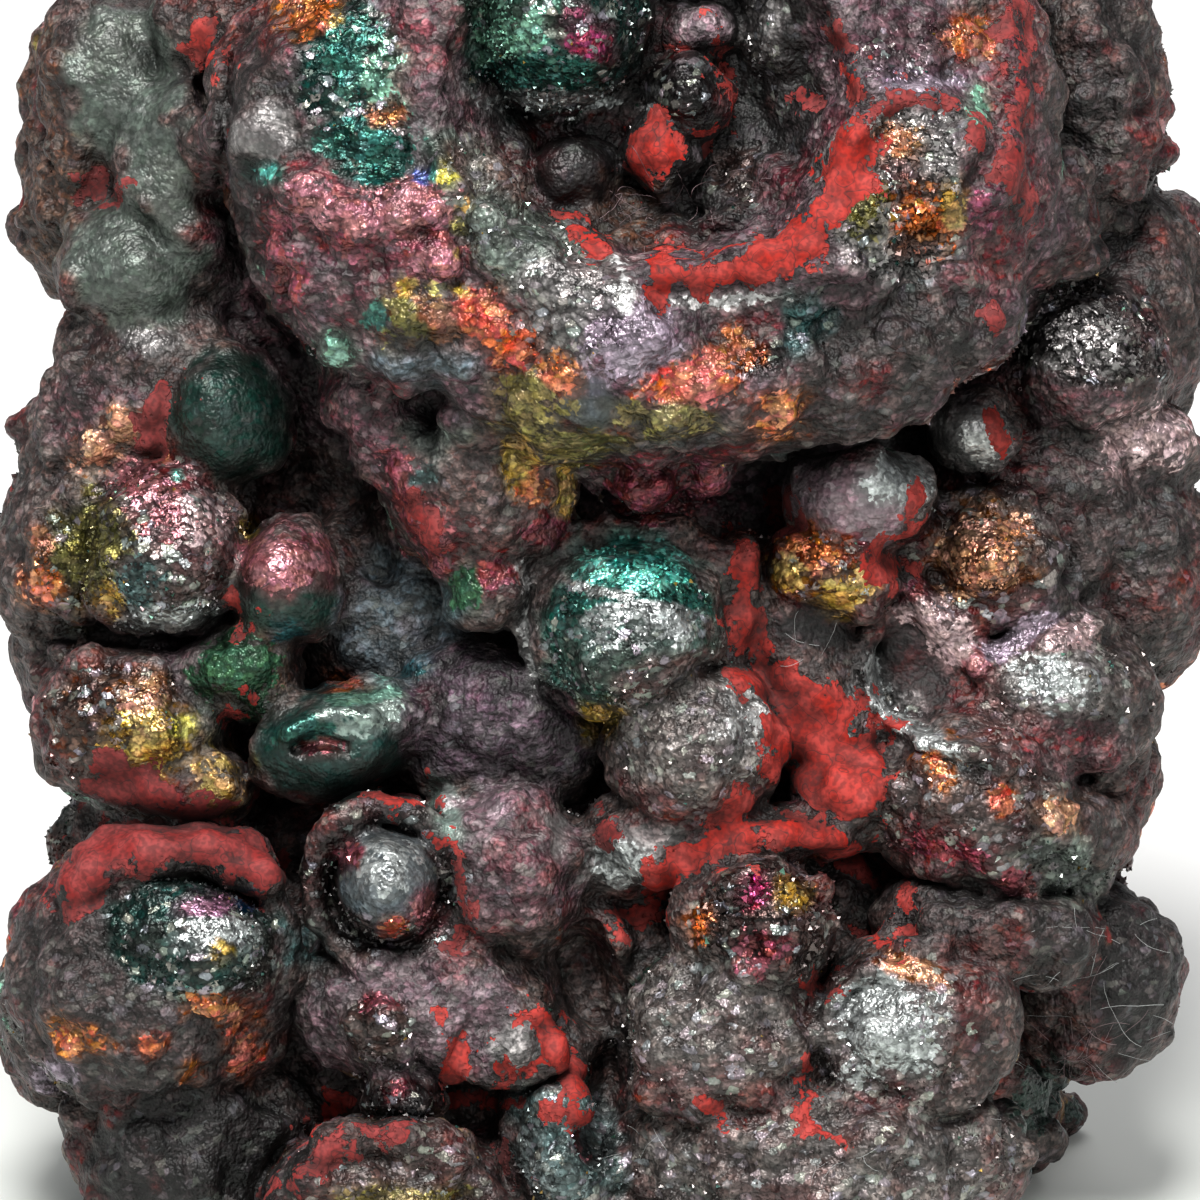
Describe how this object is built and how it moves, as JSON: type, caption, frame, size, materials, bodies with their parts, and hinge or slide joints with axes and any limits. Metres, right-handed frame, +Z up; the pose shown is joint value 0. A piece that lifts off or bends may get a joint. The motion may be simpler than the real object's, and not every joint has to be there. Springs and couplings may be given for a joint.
{
  "type": "iridescent goethite",
  "caption": "Botryoidal iridescent goethite specimen with an overhanging crater lobe above a mass of knobs, cut off flat below so that it stands.",
  "frame": {"origin": "middle of the bounding box at the flat cut that it stands on", "axes": "+Z up, the face with the crater towards -Y, +X to the right as the face is looked at"},
  "size_m": [0.0615, 0.0473, 0.0706],
  "materials": {
    "goethite": "dark drusy and satin stone with iridescent patches and a matte red coating"
  },
  "bodies": {
    "root": {"goethite": "goethite"}
  },
  "joints": []
}
